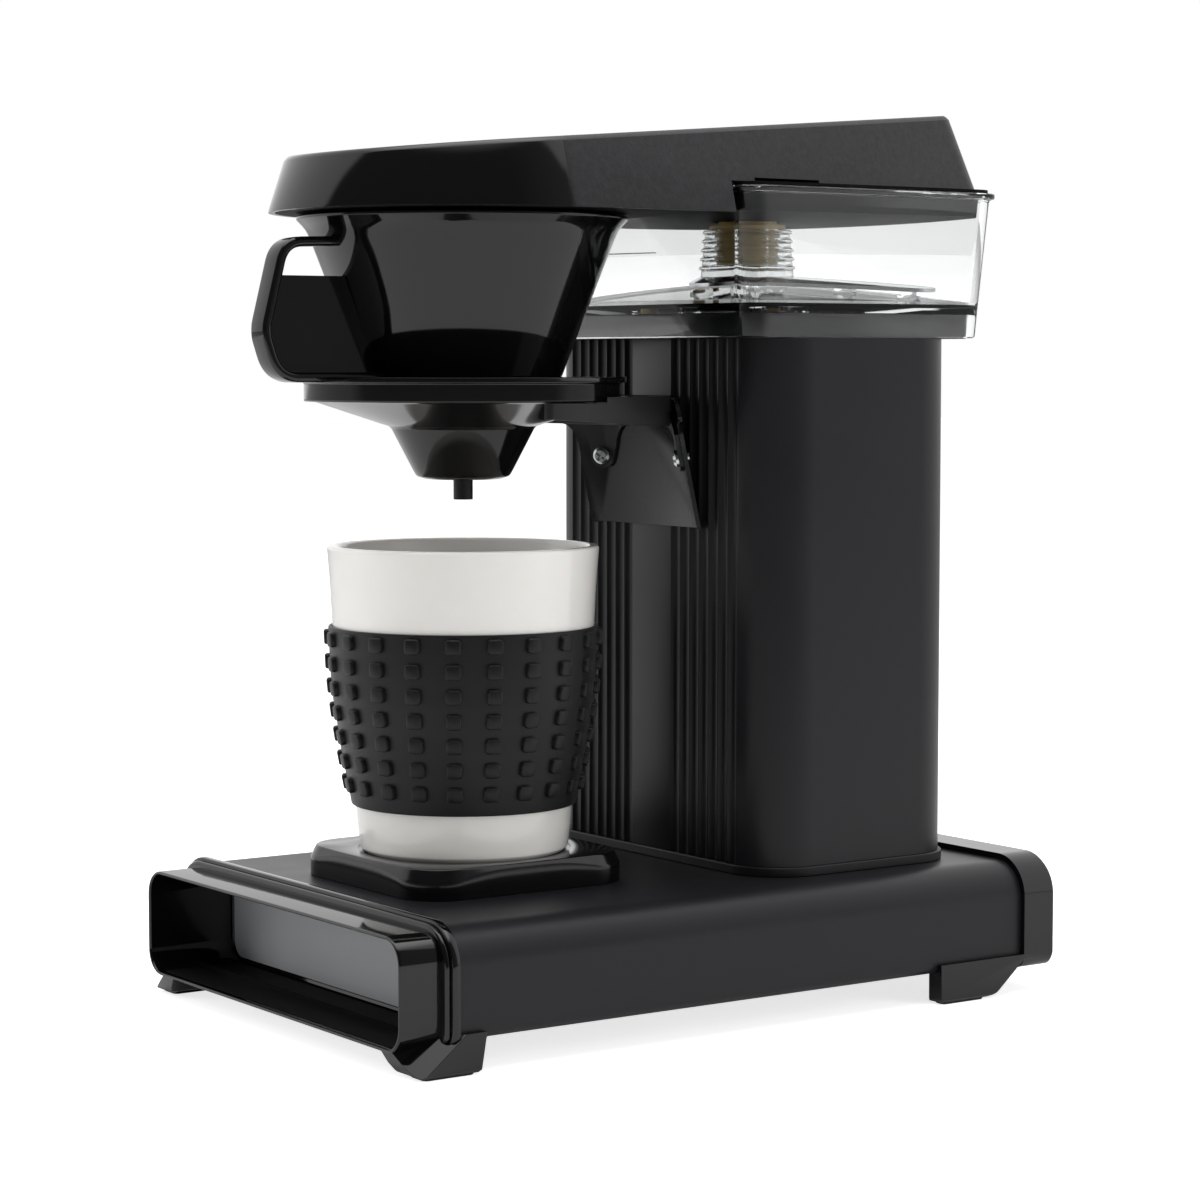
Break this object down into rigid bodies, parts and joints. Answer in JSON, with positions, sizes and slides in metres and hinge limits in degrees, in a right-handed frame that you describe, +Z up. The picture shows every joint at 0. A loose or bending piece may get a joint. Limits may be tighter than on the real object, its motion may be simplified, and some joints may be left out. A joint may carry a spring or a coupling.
{
  "type": "drip coffee maker",
  "caption": "Single-cup drip coffee maker: clear tank on a fluted column, slide-out brew basket, lift-off lid and a sleeved mug on a low base.",
  "frame": {"origin": "middle of the footprint, on the surface the feet stand on", "axes": "+Z up, the front of the coffee maker faces -Y, +X to its left hand side as it faces out, YZ is the plane of symmetry of the body"},
  "size_m": [0.1638, 0.2454, 0.2811],
  "materials": {
    "coated_aluminium": "fine satin black coat on extruded aluminium",
    "coated_steel": "semi-matte black coat on pressed steel",
    "screw_steel": "bright zinc-plated steel",
    "gloss_black": "glossy injection-moulded black",
    "lid_black": "glossy black at the front, fine grain at the sides",
    "matte_black": "matte moulded black",
    "foot_rubber": "matte rubber",
    "boiler_aluminium": "cast aluminium, bead blasted",
    "brass_part": "plain stamped brass",
    "pale_ceramic": "bare ceramic",
    "pale_nylon": "natural nylon",
    "hose_silicone": "translucent silicone",
    "tan_silicone": "tan silicone",
    "clear_plastic": "clear polished plastic",
    "polished_steel": "polished stainless steel",
    "grey_plastic": "grey moulded plastic",
    "white_porcelain": "white glazed porcelain",
    "sleeve_silicone": "matte black silicone"
  },
  "bodies": {
    "stand": {"base_housing": "coated_aluminium", "base_plate": "coated_steel", "base_plate_screws": "screw_steel", "front_cap": "gloss_black", "rear_cap": "gloss_black", "foot_pads": "foot_rubber", "cup_stand": "gloss_black", "column_plinth": "matte_black", "column_housing": "coated_aluminium", "column_top_cover": "matte_black", "tie_rods": "screw_steel", "boiler_tube": "boiler_aluminium", "boiler_bracket": "boiler_aluminium", "thermostat": "brass_part", "thermal_fuse": "pale_ceramic", "check_valve": "pale_nylon", "inlet_hose": "hose_silicone", "riser_hose": "hose_silicone", "terminal_block": "pale_nylon", "cord_gland": "matte_black", "switch_frame": "matte_black", "tank": "clear_plastic", "tank_outlet_seal": "tan_silicone", "deflector_plate": "polished_steel", "deflector_posts": "clear_plastic", "guide_tower": "clear_plastic", "tower_bellows": "tan_silicone", "riser_tube": "clear_plastic", "basket_bracket": "coated_steel", "basket_carrier": "matte_black", "bracket_screws": "screw_steel"},
    "lid": {"lid_cover": "lid_black", "lid_pan": "gloss_black", "outlet_tube": "grey_plastic", "drip_head": "matte_black"},
    "basket": {"basket_cone": "gloss_black", "basket_collar": "gloss_black", "basket_handle": "gloss_black", "drip_nozzle": "matte_black"},
    "cup": {"mug": "white_porcelain", "mug_sleeve": "sleeve_silicone"},
    "switch": {"switch_rocker": "gloss_black"}
  },
  "joints": [
    {"name": "lid_lift", "type": "slide", "parent": "stand", "child": "lid", "axis": [0, 0, 1], "range_m": [0, 0.06]},
    {"name": "basket_slide", "type": "slide", "parent": "stand", "child": "basket", "axis": [0, -1, 0], "range_m": [0, 0.11]},
    {"name": "mug_lift", "type": "slide", "parent": "stand", "child": "cup", "axis": [0, 0, 1], "range_m": [0, 0.012]},
    {"name": "switch_rock", "type": "hinge", "parent": "stand", "child": "switch", "pos_m": [-0.061, 0.0598, 0.076], "axis": [0, -1, 0], "range_deg": [0, 16]}
  ]
}
